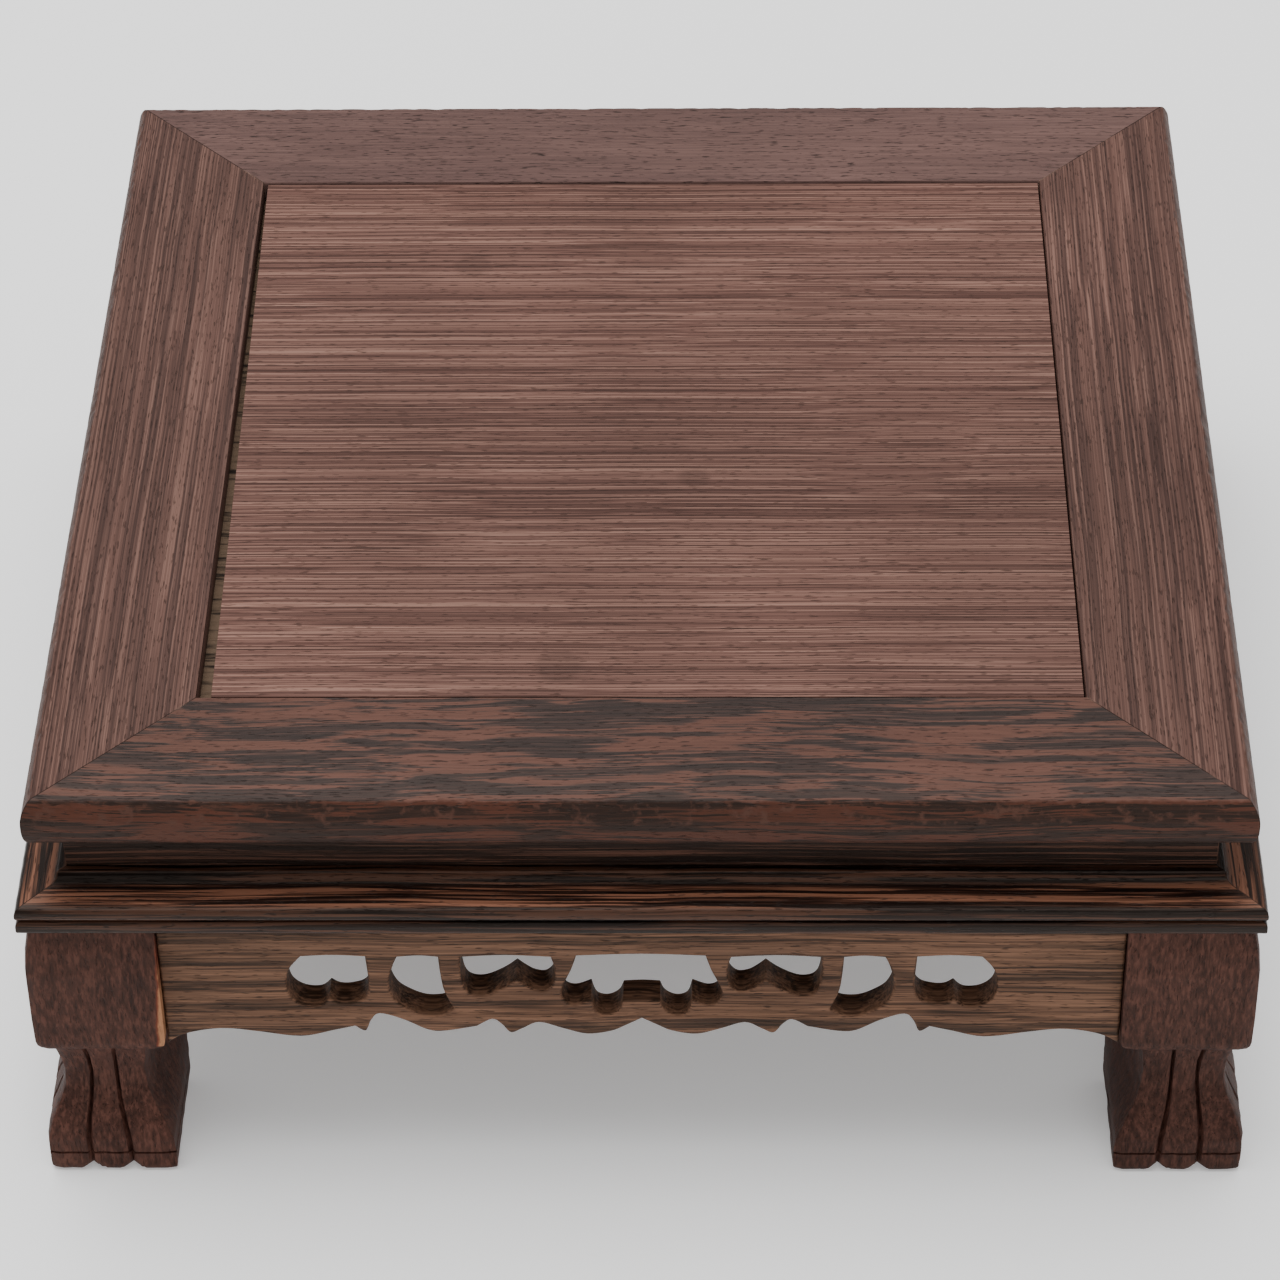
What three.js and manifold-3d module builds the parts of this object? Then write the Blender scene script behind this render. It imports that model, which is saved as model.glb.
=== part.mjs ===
// Carved wooden stand for a vase: a mitred frame with a loose panel, a recessed waist,
// a moulded ledge, four pierced aprons and four carved legs, each foot with three toes.
// Millimetres, +Z up, front towards -Y, origin on the ground under the middle.
import * as THREE from 'three';
import { mergeVertices } from 'three/addons/utils/BufferGeometryUtils.js';
import Module from 'manifold-3d';

const wasm = await Module();
wasm.setup();

// Driving dimensions. "Reach" is the distance of a face from the middle of the stand.
const HEIGHT = 81.4;
const LIP_REACH = 100;
const FRAME_UNDERSIDE = 72.7;
const LEDGE_HEIGHT = 63.6;
const MOULDING_UNDERSIDE = 55.8;
const ARRIS_REACH = 95.9;
const BEAD_REACH = 97.5;
const OPENING_REACH = 71.6;
const WAIST_REACH = 92.1;
const WAIST_THICKNESS = 4;
const APRON_REACH = 97.6;
const APRON_THICKNESS = 5.2;
const LEG_INNER_REACH = 78.1;
const GLUE_LINE = 0.1;
const CLEARANCE = 0.3;

// The groove round the frame and the tongue of the panel that lies in it.
const GROOVE_DEPTH = 3.4;
const GROOVE_BOTTOM = 75;
const GROOVE_TOP = 77.6;
const TONGUE_BOTTOM = 75.2;
const TONGUE_TOP = 77.3;
const TONGUE_REACH = 74.4;
const PANEL_TOP = 81.2;
const PANEL_SEAM = 0.35;
const LEFT_GAP_FRONT = 2.4;
const LEFT_GAP_BACK = 0.8;

// The joints.
const LEG_TENON_CENTRE = 84;
const LEG_TENON_SIZE = 7.6;
const LEG_TENON_TOP = 76.5;
const SPLINE_CENTRE = 86.5;
const SPLINE_ACROSS = 10;
const SPLINE_ALONG = 13;
const SPLINE_THICKNESS = 1.6;
const SPLINE_HEIGHT = 78.7;
const APRON_TENON_LENGTH = 4;
const APRON_TENON_THICKNESS = 2.6;
const APRON_TENON_LOW = 35;
const APRON_TENON_HIGH = 51;
const BATTEN_WIDTH = 14;
const BATTEN_BOTTOM = 71.2;
const BATTEN_TENON = 3;
const BATTEN_TENON_WIDTH = 8;
const BATTEN_TENON_LOW = 73.3;
const BATTEN_TENON_HIGH = 74.5;
const DOVETAIL_RISE = 1.4;
const DOVETAIL_FOOT = 8;
const DOVETAIL_HEAD = 10;

const QUARTER_TURN = Math.PI / 2;

const wood = (colour, roughness) =>
  new THREE.MeshStandardMaterial({ color: colour, roughness, metalness: 0 });
const FRAME_WOOD = wood(0x4a3230, 0.55);
const PANEL_WOOD = wood(0x5e4440, 0.6);
const DARK_WOOD = wood(0x2a1814, 0.4);
const APRON_WOOD = wood(0x5a3c30, 0.65);
const LEG_WOOD = wood(0x3d221c, 0.7);

// A closed solid for cutting and joining, and back again.
function solidOf(geometry) {
  const plain = geometry.clone();
  plain.deleteAttribute('normal');
  plain.deleteAttribute('uv');
  const merged = mergeVertices(plain, 1e-4);
  const mesh = new wasm.Mesh({
    numProp: 3,
    vertProperties: new Float32Array(merged.attributes.position.array),
    triVerts: new Uint32Array(merged.index.array),
  });
  return new wasm.Manifold(mesh);
}

function geometryOf(solid) {
  const mesh = solid.getMesh();
  const geometry = new THREE.BufferGeometry();
  geometry.setAttribute('position', new THREE.BufferAttribute(mesh.vertProperties, 3));
  geometry.setIndex(new THREE.BufferAttribute(mesh.triVerts, 1));
  geometry.computeVertexNormals();
  return geometry;
}

// A box between two corners.
function block(low, high) {
  const size = low.map((value, axis) => high[axis] - value);
  const box = new THREE.BoxGeometry(...size);
  box.translate(...low.map((value, axis) => (value + high[axis]) / 2));
  return box;
}

// A skin over rings of equal length, closed by the same cap on the first and the last ring.
function loft(rings, capFaces) {
  const count = rings[0].length;
  const faces = [];
  for (let level = 0; level + 1 < rings.length; level += 1) {
    for (let i = 0; i < count; i += 1) {
      const a = level * count + i;
      const b = level * count + ((i + 1) % count);
      faces.push(a, b, b + count, a, b + count, a + count);
    }
  }
  const last = (rings.length - 1) * count;
  for (const [a, b, c] of capFaces) {
    faces.push(a, c, b);
    faces.push(last + a, last + b, last + c);
  }
  const geometry = new THREE.BufferGeometry();
  geometry.setAttribute('position', new THREE.Float32BufferAttribute(rings.flat(2), 3));
  geometry.setIndex(faces);
  return geometry;
}

// A bar along the front edge, mitred at 45 degrees at both ends. The profile is a list of
// [reach, height] points, anticlockwise when seen from the bar's right end.
function mitredBar(profile) {
  const ring = (side) =>
    profile.map(([reach, height]) => [side * (reach - GLUE_LINE / 2), -reach, height]);
  const section = profile.map(([reach, height]) => new THREE.Vector2(-reach, height));
  return loft([ring(-1), ring(1)], THREE.ShapeUtils.triangulateShape(section, []));
}

// The frame: a rounded bead outside, a groove for the panel inside.
const FRAME_PROFILE = [
  [OPENING_REACH, HEIGHT],
  [ARRIS_REACH - 0.5, HEIGHT],
  [ARRIS_REACH + 0.3, HEIGHT - 0.5],
  [ARRIS_REACH + 1.1, HEIGHT - 1.6],
  [BEAD_REACH - 0.1, HEIGHT - 2.8],
  [BEAD_REACH, HEIGHT - 4],
  [BEAD_REACH - 0.05, HEIGHT - 5.8],
  [BEAD_REACH - 0.3, FRAME_UNDERSIDE + 1.2],
  [BEAD_REACH - 0.7, FRAME_UNDERSIDE + 0.3],
  [BEAD_REACH - 1.3, FRAME_UNDERSIDE],
  [OPENING_REACH, FRAME_UNDERSIDE],
  [OPENING_REACH, GROOVE_BOTTOM],
  [OPENING_REACH + GROOVE_DEPTH, GROOVE_BOTTOM],
  [OPENING_REACH + GROOVE_DEPTH, GROOVE_TOP],
  [OPENING_REACH, GROOVE_TOP],
];

// The ledge under the waist: a small cove, a gentle slope, a lip, a groove and a lower bead.
const MOULDING_PROFILE = [
  [LEG_INNER_REACH - 1, LEDGE_HEIGHT],
  [WAIST_REACH + 1.3, LEDGE_HEIGHT],
  [WAIST_REACH + 1.4, LEDGE_HEIGHT - 0.9],
  [WAIST_REACH + 1.8, LEDGE_HEIGHT - 1.6],
  [WAIST_REACH + 2.6, LEDGE_HEIGHT - 2.1],
  [LIP_REACH - 1.4, LEDGE_HEIGHT - 2.5],
  [LIP_REACH - 0.4, LEDGE_HEIGHT - 2.9],
  [LIP_REACH, LEDGE_HEIGHT - 3.5],
  [LIP_REACH, LEDGE_HEIGHT - 4.4],
  [LIP_REACH - 0.3, LEDGE_HEIGHT - 4.8],
  [LIP_REACH - 0.9, LEDGE_HEIGHT - 5],
  [LIP_REACH - 0.9, LEDGE_HEIGHT - 5.4],
  [LIP_REACH - 0.2, LEDGE_HEIGHT - 5.6],
  [LIP_REACH, LEDGE_HEIGHT - 6.2],
  [LIP_REACH, MOULDING_UNDERSIDE + 0.7],
  [LIP_REACH - 0.4, MOULDING_UNDERSIDE + 0.1],
  [LIP_REACH - 1, MOULDING_UNDERSIDE],
  [LEG_INNER_REACH - 1, MOULDING_UNDERSIDE],
];

const WAIST_PROFILE = [
  [WAIST_REACH - WAIST_THICKNESS, FRAME_UNDERSIDE - GLUE_LINE],
  [WAIST_REACH, FRAME_UNDERSIDE - GLUE_LINE],
  [WAIST_REACH, LEDGE_HEIGHT + GLUE_LINE],
  [WAIST_REACH - WAIST_THICKNESS, LEDGE_HEIGHT + GLUE_LINE],
];

// The mortise for a leg's tenon, at the left or the right end of a front bar.
function legMortise(side) {
  const half = LEG_TENON_SIZE / 2 + CLEARANCE;
  const x = side * LEG_TENON_CENTRE;
  const low = [x - half, -LEG_TENON_CENTRE - half, MOULDING_UNDERSIDE - 1];
  return block(low, [x + half, -LEG_TENON_CENTRE + half, LEG_TENON_TOP + CLEARANCE]);
}

// The loose spline that ties a mitre of the frame, or the slot for it.
function splineBlock(side, ease) {
  const box = new THREE.BoxGeometry(
    SPLINE_ACROSS + 2 * ease,
    SPLINE_ALONG + 2 * ease,
    SPLINE_THICKNESS + 2 * ease,
  );
  box.rotateZ((side * Math.PI) / 4);
  box.translate(side * SPLINE_CENTRE, -SPLINE_CENTRE, SPLINE_HEIGHT);
  return box;
}

function battenTenon(ease) {
  const half = BATTEN_TENON_WIDTH / 2 + ease;
  const low = [-half, -OPENING_REACH - BATTEN_TENON - ease, BATTEN_TENON_LOW - ease];
  return block(low, [half, -OPENING_REACH + 1, BATTEN_TENON_HIGH + ease]);
}

function cutAll(geometry, cutters) {
  const cut = cutters.reduce((left, cutter) => left.subtract(solidOf(cutter)), solidOf(geometry));
  return geometryOf(cut);
}

const legMortises = [legMortise(-1), legMortise(1)];
const splineSlots = [splineBlock(-1, CLEARANCE), splineBlock(1, CLEARANCE)];
const sideFrame = cutAll(mitredBar(FRAME_PROFILE), [...legMortises, ...splineSlots]);
const endFrame = cutAll(sideFrame, [battenTenon(CLEARANCE)]);
const moulding = cutAll(mitredBar(MOULDING_PROFILE), legMortises);
const waist = mitredBar(WAIST_PROFILE);

// The panel: its upper part has shrunk away from the left side of the frame, so that the
// tongue shows there, in a gap that is wider at the front.
function panelGeometry() {
  const tongue = block(
    [-TONGUE_REACH, -TONGUE_REACH, TONGUE_BOTTOM],
    [TONGUE_REACH, TONGUE_REACH, TONGUE_TOP],
  );
  const edge = OPENING_REACH - PANEL_SEAM;
  const field = new THREE.Shape();
  field.moveTo(-OPENING_REACH + LEFT_GAP_FRONT, -edge);
  field.lineTo(edge, -edge);
  field.lineTo(edge, edge);
  field.lineTo(-OPENING_REACH + LEFT_GAP_BACK, edge);
  const upper = new THREE.ExtrudeGeometry(field, {
    depth: PANEL_TOP - TONGUE_TOP + 1,
    bevelEnabled: false,
  });
  upper.translate(0, 0, TONGUE_TOP - 1);
  const joined = solidOf(tongue).add(solidOf(upper));
  return geometryOf(joined.subtract(solidOf(dovetail(CLEARANCE, TONGUE_REACH + 2))));
}

// The sliding dovetail on top of the batten, or the trench for it in the panel.
function dovetail(ease, halfLength) {
  const low = TONGUE_BOTTOM - GLUE_LINE - 1;
  const high = TONGUE_BOTTOM + DOVETAIL_RISE + ease;
  const section = new THREE.Shape();
  section.moveTo(-DOVETAIL_FOOT / 2 - ease, low);
  section.lineTo(DOVETAIL_FOOT / 2 + ease, low);
  section.lineTo(DOVETAIL_HEAD / 2 + ease, high);
  section.lineTo(-DOVETAIL_HEAD / 2 - ease, high);
  const bar = new THREE.ExtrudeGeometry(section, { depth: 2 * halfLength, bevelEnabled: false });
  bar.translate(0, 0, -halfLength);
  bar.rotateX(QUARTER_TURN);
  return bar;
}

function battenGeometry() {
  const end = OPENING_REACH - CLEARANCE;
  const bar = block(
    [-BATTEN_WIDTH / 2, -end, BATTEN_BOTTOM],
    [BATTEN_WIDTH / 2, end, TONGUE_BOTTOM - GLUE_LINE],
  );
  const frontTenon = battenTenon(0);
  const backTenon = battenTenon(0).rotateZ(Math.PI);
  const pieces = [frontTenon, backTenon, dovetail(0, end - 2)];
  return geometryOf(pieces.reduce((left, piece) => left.add(solidOf(piece)), solidOf(bar)));
}

// The outline of an apron, half of it: the lower edge from the leg to the middle, in lobes.
// Each lobe is a smooth run of [x, z] points and a cusp stands between two lobes.
const APRON_TOP = MOULDING_UNDERSIDE - GLUE_LINE;
const APRON_END = LEG_INNER_REACH - GLUE_LINE;
const LOWER_LOBES = [
  [[78, 28.4], [75.5, 30.2], [72, 31.3], [68, 31.7], [63, 31], [56, 29.9], [50.5, 31.3], [47, 32.3]],
  [[47, 32.3], [45.3, 31.2], [44.3, 33.6], [42.8, 35.2], [39, 33.8], [35, 31.4], [32, 31.2], [27, 32.3]],
  [[27, 32.3], [24.5, 33.9], [23, 32.8], [21.5, 30.8], [19.5, 31.8], [16.8, 33.2], [13, 31.8], [9, 30.5],
    [5, 31.2], [2.5, 32.6], [0, 34.2]],
];

// The four kinds of opening, right half of the apron: smooth runs between corners.
const OUTER_OPENING = [
  [[44.6, 48.3], [50, 48.6], [55, 48.3]],
  [[55, 48.3], [57, 45.4], [57.6, 42], [57, 39], [55, 37.3], [52.4, 37.2], [50.8, 38.8]],
  [[50.8, 38.8], [49.4, 37.8], [47.4, 37.8], [45.2, 38.8], [44.3, 41.5], [44.6, 48.3]],
];
const CRESCENT_OPENING = [
  [[32.8, 48.2], [36, 48.5], [39.4, 48.2]],
  [[39.4, 48.2], [40.3, 45.7], [41, 41.8], [40, 38.3], [38, 36.4], [35.4, 35.1], [32.6, 35.2], [30.7, 36.5]],
  [[30.7, 36.5], [32.1, 40.4], [32.6, 44.6], [32.8, 48.2]],
];
const INNER_OPENING = [
  [[14.6, 48.2], [22, 48.6], [29.2, 48.2]],
  [[29.2, 48.2], [29.2, 44], [28.3, 40.4], [25.8, 39.6], [22.6, 41.2], [20.2, 43.3]],
  [[20.2, 43.3], [18.9, 42], [17.4, 40.9], [15.6, 40.7], [14.3, 42.4], [14, 45.4], [14.6, 48.2]],
];
const CENTRE_OPENING = [
  [[-10.4, 48.5], [0, 48.9], [10.4, 48.5]],
  [[10.4, 48.5], [11.3, 45.3], [13, 40.6], [12.4, 38.2], [10.7, 37.5], [8.2, 38.6]],
  [[8.2, 38.6], [7.4, 35.8], [5.6, 35.1], [3.8, 36.2], [3, 38.2]],
  [[3, 38.2], [0, 38.4], [-3, 38.2]],
  [[-3, 38.2], [-3.8, 36.2], [-5.6, 35.1], [-7.4, 35.8], [-8.2, 38.6]],
  [[-8.2, 38.6], [-10.7, 37.5], [-12.4, 38.2], [-13, 40.6], [-11.3, 45.3], [-10.4, 48.5]],
];
const STEPS_PER_POINT = 2;

// Points along smooth curves through each run, without the last point of the last run.
function smooth(runs) {
  return runs.flatMap((run) => {
    const curve = new THREE.SplineCurve(run.map(([x, z]) => new THREE.Vector2(x, z)));
    return curve.getPoints((run.length - 1) * STEPS_PER_POINT).slice(0, -1);
  });
}

const mirrored = (points) => points.map((point) => new THREE.Vector2(-point.x, point.y)).reverse();

function apronGeometry() {
  const rightEdge = smooth(LOWER_LOBES);
  const middle = new THREE.Vector2(...LOWER_LOBES.at(-1).at(-1));
  const topCorners = [new THREE.Vector2(-APRON_END, APRON_TOP), new THREE.Vector2(APRON_END, APRON_TOP)];
  const outline = [...topCorners, ...rightEdge, middle, ...mirrored(rightEdge)];
  const shape = new THREE.Shape(outline.reverse());
  const right = [OUTER_OPENING, CRESCENT_OPENING, INNER_OPENING].map(smooth);
  const openings = [smooth(CENTRE_OPENING), ...right, ...right.map(mirrored)];
  shape.holes = openings.map((points) => new THREE.Path(points));
  const board = new THREE.ExtrudeGeometry(shape, { depth: APRON_THICKNESS, bevelEnabled: false });
  board.rotateX(QUARTER_TURN);
  board.translate(0, APRON_THICKNESS - APRON_REACH, 0);
  const tenons = [-1, 1].map((side) => apronTenon(side, 0));
  return geometryOf(tenons.reduce((left, tenon) => left.add(solidOf(tenon)), solidOf(board)));
}

// The stub tenon at one end of the front apron, or the mortise for it in the leg.
function apronTenon(side, ease) {
  const middle = -APRON_REACH + APRON_THICKNESS / 2;
  const half = APRON_TENON_THICKNESS / 2 + ease;
  const near = APRON_END - 1;
  const far = APRON_END + APRON_TENON_LENGTH + ease;
  const from = side < 0 ? -far : near;
  const to = side < 0 ? -near : far;
  const low = [from, middle - half, APRON_TENON_LOW - ease];
  return block(low, [to, middle + half, APRON_TENON_HIGH + ease]);
}

// The leg at the front left corner, level by level: height, reach of the two outer faces,
// reach of their inner edges, reach of the hidden back corner, depth of the toe grooves.
const LEG_LEVELS = [
  [0, 98.9, 79.2, 79, 2.6],
  [0.8, 99.7, 78.5, 78.4, 2.4],
  [2.4, 99.9, 78.3, 78.1, 1.6],
  [4.3, 99.9, 78.3, 78, 1.5],
  [4.6, 99.4, 78.8, 78, 1.4],
  [4.9, 99.9, 78.3, 78, 1.5],
  [7.6, 99.9, 78.5, 78, 1.5],
  [10, 99.4, 79.4, 78, 1.4],
  [12.4, 98.4, 80.6, 78, 1.3],
  [14.8, 97.3, 81.7, 78, 1.2],
  [17.4, 96.5, 82.4, 77.8, 1.1],
  [20.4, 96.3, 82.6, 77.6, 0.9],
  [23.4, 96.6, 82.4, 77.6, 0.7],
  [26.2, 97.2, 82, 77.6, 0.4],
  [28, 97.8, 81.4, 77.8, 0.1],
  [28.9, 99, 79, 78, 0],
  [30.2, 99.7, 78.3, 78.1, 0],
  [46, 99.7, 78.1, 78.1, 0],
  [50.5, 99.4, 78.1, 78.1, 0],
  [MOULDING_UNDERSIDE - GLUE_LINE, 98.5, 78.1, 78.1, 0],
];
const TOES = 3;
const STEPS_PER_TOE = 4;
const CORNER_ROUNDING = 0.5;

function legRing([height, reach, innerEdge, backCorner, groove]) {
  const steps = TOES * STEPS_PER_TOE;
  const face = [];
  for (let i = 0; i <= steps; i += 1) {
    const share = i / steps;
    const hollow = (1 - Math.abs(Math.sin(TOES * Math.PI * share))) * groove;
    const along = reach - CORNER_ROUNDING - share * (reach - CORNER_ROUNDING - innerEdge);
    const atEnd = i === 0 || i === steps;
    face.push([along, reach - (atEnd ? hollow * 0.4 : hollow)]);
  }
  const front = face.map(([along, out]) => [-along, -out, height]);
  const side = face.map(([along, out]) => [-out, -along, height]).reverse();
  return [...front, [-backCorner, -backCorner, height], ...side];
}

function legGeometry() {
  const rings = LEG_LEVELS.map(legRing);
  const hub = TOES * STEPS_PER_TOE + 1;
  const count = rings[0].length;
  const capFaces = [];
  for (let i = 1; i + 1 < count; i += 1) {
    capFaces.push([hub, (hub + i) % count, (hub + i + 1) % count]);
  }
  const half = LEG_TENON_SIZE / 2;
  const tenon = block(
    [-LEG_TENON_CENTRE - half, -LEG_TENON_CENTRE - half, MOULDING_UNDERSIDE - 2],
    [-LEG_TENON_CENTRE + half, -LEG_TENON_CENTRE + half, LEG_TENON_TOP],
  );
  const frontMortise = apronTenon(-1, CLEARANCE);
  const sideMortise = apronTenon(1, CLEARANCE).rotateZ(-QUARTER_TURN);
  return cutAll(geometryOf(solidOf(loft(rings, capFaces)).add(solidOf(tenon))), [frontMortise, sideMortise]);
}

const stand = new THREE.Group();

function place(name, geometry, material, turns = 0) {
  const mesh = new THREE.Mesh(geometry, material);
  mesh.name = name;
  mesh.rotation.z = turns * QUARTER_TURN;
  stand.add(mesh);
}

// The front piece of each ring of four is turned about the middle for the other three.
const SIDES = ['front', 'right', 'back', 'left'];
const CORNERS = ['front_left', 'front_right', 'back_right', 'back_left'];
const apron = apronGeometry();
const leg = legGeometry();
const spline = splineBlock(-1, 0);

SIDES.forEach((side, turns) => {
  place(`frame_${side}`, turns % 2 === 0 ? endFrame : sideFrame, FRAME_WOOD, turns);
  place(`waist_${side}`, waist, DARK_WOOD, turns);
  place(`moulding_${side}`, moulding, DARK_WOOD, turns);
  place(`apron_${side}`, apron, APRON_WOOD, turns);
});
CORNERS.forEach((corner, turns) => {
  place(`leg_${corner}`, leg, LEG_WOOD, turns);
  place(`mitre_spline_${corner}`, spline, FRAME_WOOD, turns);
});
place('top_panel', panelGeometry(), PANEL_WOOD);
place('panel_batten', battenGeometry(), PANEL_WOOD);

export default stand;
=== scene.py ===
"""A carved wooden stand for a vase, dressed piece by piece from the top down."""
import math

import bmesh
import bpy
from mathutils import Matrix, Vector, noise


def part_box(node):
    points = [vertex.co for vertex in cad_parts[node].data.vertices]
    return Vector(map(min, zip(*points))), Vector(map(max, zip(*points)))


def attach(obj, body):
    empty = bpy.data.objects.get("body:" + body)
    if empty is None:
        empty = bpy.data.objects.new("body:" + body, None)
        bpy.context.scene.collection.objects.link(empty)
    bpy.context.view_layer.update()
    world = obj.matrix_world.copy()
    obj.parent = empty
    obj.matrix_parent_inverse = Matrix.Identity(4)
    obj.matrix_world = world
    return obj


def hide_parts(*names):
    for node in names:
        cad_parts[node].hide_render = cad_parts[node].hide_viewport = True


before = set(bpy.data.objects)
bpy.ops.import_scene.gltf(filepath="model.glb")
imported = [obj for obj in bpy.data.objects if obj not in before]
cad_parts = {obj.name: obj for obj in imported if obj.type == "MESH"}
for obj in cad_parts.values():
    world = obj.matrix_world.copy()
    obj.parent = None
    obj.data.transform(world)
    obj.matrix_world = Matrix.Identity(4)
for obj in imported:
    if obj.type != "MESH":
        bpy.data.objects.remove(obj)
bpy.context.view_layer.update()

# The camera stands in front of the stand, high up, and looks down on it at about 41
# degrees with a long lens, as in the photograph. Its place and turn are in metres and degrees.
CAMERA_PLACE = Vector((0.0138, -0.6164, 0.5658))
CAMERA_YAW = math.radians(-1.44)
CAMERA_DOWN = math.radians(40.91)
CAMERA_ROLL = math.radians(-0.99)
PHOTO_WIDTH = 1280
FOCAL_PIXELS = 4534
SENSOR_WIDTH = 36.0
NEAREST_SEEN = 0.01


def stand_in_view():
    ahead = Vector((
        math.sin(CAMERA_YAW) * math.cos(CAMERA_DOWN),
        math.cos(CAMERA_YAW) * math.cos(CAMERA_DOWN),
        -math.sin(CAMERA_DOWN),
    ))
    level = Vector((math.cos(CAMERA_YAW), -math.sin(CAMERA_YAW), 0))
    upward = level.cross(ahead)
    right = math.cos(CAMERA_ROLL) * level + math.sin(CAMERA_ROLL) * upward
    up = -math.sin(CAMERA_ROLL) * level + math.cos(CAMERA_ROLL) * upward
    lens = bpy.data.cameras.new("camera")
    lens.sensor_width = SENSOR_WIDTH
    lens.lens = FOCAL_PIXELS / PHOTO_WIDTH * SENSOR_WIDTH
    lens.clip_start = NEAREST_SEEN
    camera = bpy.data.objects.new("camera", lens)
    turn = Matrix((right, up, -ahead)).transposed().to_4x4()
    camera.matrix_world = Matrix.Translation(CAMERA_PLACE) @ turn
    bpy.context.collection.objects.link(camera)
    bpy.context.scene.camera = camera


stand_in_view()


# The light is soft studio light: a wide lamp overhead, a weaker one from the front, and a
# pale surround that fills the shadows.
SURROUND_STRENGTH = 0.62


def soft_lamp(name, place, target, width, power):
    lamp = bpy.data.lights.new(name, "AREA")
    lamp.shape = "SQUARE"
    lamp.size = width
    lamp.energy = power
    holder = bpy.data.objects.new(name, lamp)
    holder.location = place
    holder.rotation_euler = (Vector(target) - Vector(place)).to_track_quat("-Z", "Y").to_euler()
    bpy.context.collection.objects.link(holder)


soft_lamp("overhead_lamp", place=(-0.15, 0.1, 1.2), target=(0, 0, 0.05), width=1.1, power=20)
soft_lamp("front_lamp", place=(0.3, -1.3, 0.5), target=(0, 0, 0.04), width=0.7, power=3.2)

surround = bpy.data.worlds.new("surround")
surround.use_nodes = True
surround_inputs = surround.node_tree.nodes["Background"].inputs
surround_inputs["Color"].default_value = (1, 1, 1, 1)
surround_inputs["Strength"].default_value = SURROUND_STRENGTH
bpy.context.scene.world = surround


# The floor is a wide sheet of white paper, which glows a little, as lit paper in a studio does.
# It throws light up at the feet and at the undersides of the mouldings.
FLOOR_REACH = 3.0
PAPER_WHITE = 0.92
PAPER_ROUGHNESS = 0.7
PAPER_GLOW = 0.22

floor_corners = [(-1, -1), (1, -1), (1, 1), (-1, 1)]
floor_mesh = bpy.data.meshes.new("floor")
floor_mesh.from_pydata([(x * FLOOR_REACH, y * FLOOR_REACH, 0) for x, y in floor_corners], [], [(0, 1, 2, 3)])
floor = bpy.data.objects.new("floor", floor_mesh)
bpy.context.collection.objects.link(floor)
paper = bpy.data.materials.new("pale_floor")
paper.use_nodes = True
paper_inputs = paper.node_tree.nodes["Principled BSDF"].inputs
paper_inputs["Base Color"].default_value = (PAPER_WHITE, PAPER_WHITE, PAPER_WHITE, 1)
paper_inputs["Roughness"].default_value = PAPER_ROUGHNESS
paper_inputs["Emission Color"].default_value = (1, 1, 1, 1)
paper_inputs["Emission Strength"].default_value = PAPER_GLOW
floor_mesh.materials.append(paper)


# The frame is four mitred members of striped hardwood, grooved inside for the panel and
# rounded outside to a bead. It is rubbed with wax, and its upper outer edge is worn rough.
MM = 0.001
SIDES = ("front", "right", "back", "left")
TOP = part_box("frame_front")[1][2] / MM
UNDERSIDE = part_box("frame_front")[0][2] / MM
BEAD = -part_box("frame_front")[0][1] / MM
ARRIS = 95.9
FACE_MIDDLE = 84
UNDER_MIDDLE = 88
OPENING = 71.6
GROOVE_REACH = 75
GROOVE_LOW = 75
GROOVE_HIGH = 77.6

WANDER_SCALE = 22.0
TONE_SCALE = 14.0
PORE_STRETCH = (420.0, 3400.0, 3400.0)
BOARD_SHIFT = (0.37, 0.23, 0.41)
GRAIN_TURN = {"x": (0, 0, 0), "y": (0, 0, math.pi / 2), "z": (0, math.pi / 2, 0)}
MIDDLE_VALUES = (0.3, 0.7)
TONE_CHANGE = (0.82, 1.14)
GLOSS_CHANGE = 0.07
WARM_SHEEN = (1, 0.82, 0.72, 1)


def wire(tree, kind, links=(), **settings):
    """A new node. Each input is linked to another node's socket or holds a plain value."""
    node = tree.nodes.new(kind)
    for key, value in settings.items():
        setattr(node, key, value)
    for socket, source in dict(links).items():
        if isinstance(source, bpy.types.NodeSocket):
            tree.links.new(source, node.inputs[socket])
        else:
            node.inputs[socket].default_value = source
    return node


def use_group(tree, group, inputs):
    return wire(tree, "ShaderNodeGroup", inputs, node_tree=group).outputs


def calc(tree, operation, *values):
    return wire(tree, "ShaderNodeMath", enumerate(values), operation=operation).outputs[0]


def calc_place(tree, operation, *places):
    return wire(tree, "ShaderNodeVectorMath", enumerate(places), operation=operation).outputs[0]


def spread(tree, value, low, high, first=0.0, last=1.0):
    """The value carried from the range low to high over to the range first to last."""
    ends = {"Value": value, "From Min": low, "From Max": high, "To Min": first, "To Max": last}
    return wire(tree, "ShaderNodeMapRange", ends).outputs["Result"]


def uneven(tree, place, scale, detail, roughness=0.5, distortion=0.0):
    inputs = {"Vector": place, "Scale": scale, "Detail": detail, "Roughness": roughness,
              "Distortion": distortion}
    return wire(tree, "ShaderNodeTexNoise", inputs).outputs


def blend_colour(tree, amount, first, second, mode="MIX"):
    mix = wire(tree, "ShaderNodeMix", {0: amount, 6: first, 7: second}, data_type="RGBA", blend_type=mode)
    return mix.outputs[2]


def opaque(colour):
    return (*colour, 1)


def ramp(tree, value, stops):
    node = wire(tree, "ShaderNodeValToRGB", {"Fac": value})
    elements = node.color_ramp.elements
    while len(elements) < len(stops):
        elements.new(0.5)
    for element, (place, colour) in zip(elements, stops):
        element.position = place
        element.color = opaque(colour)
    return node.outputs["Color"]


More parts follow.
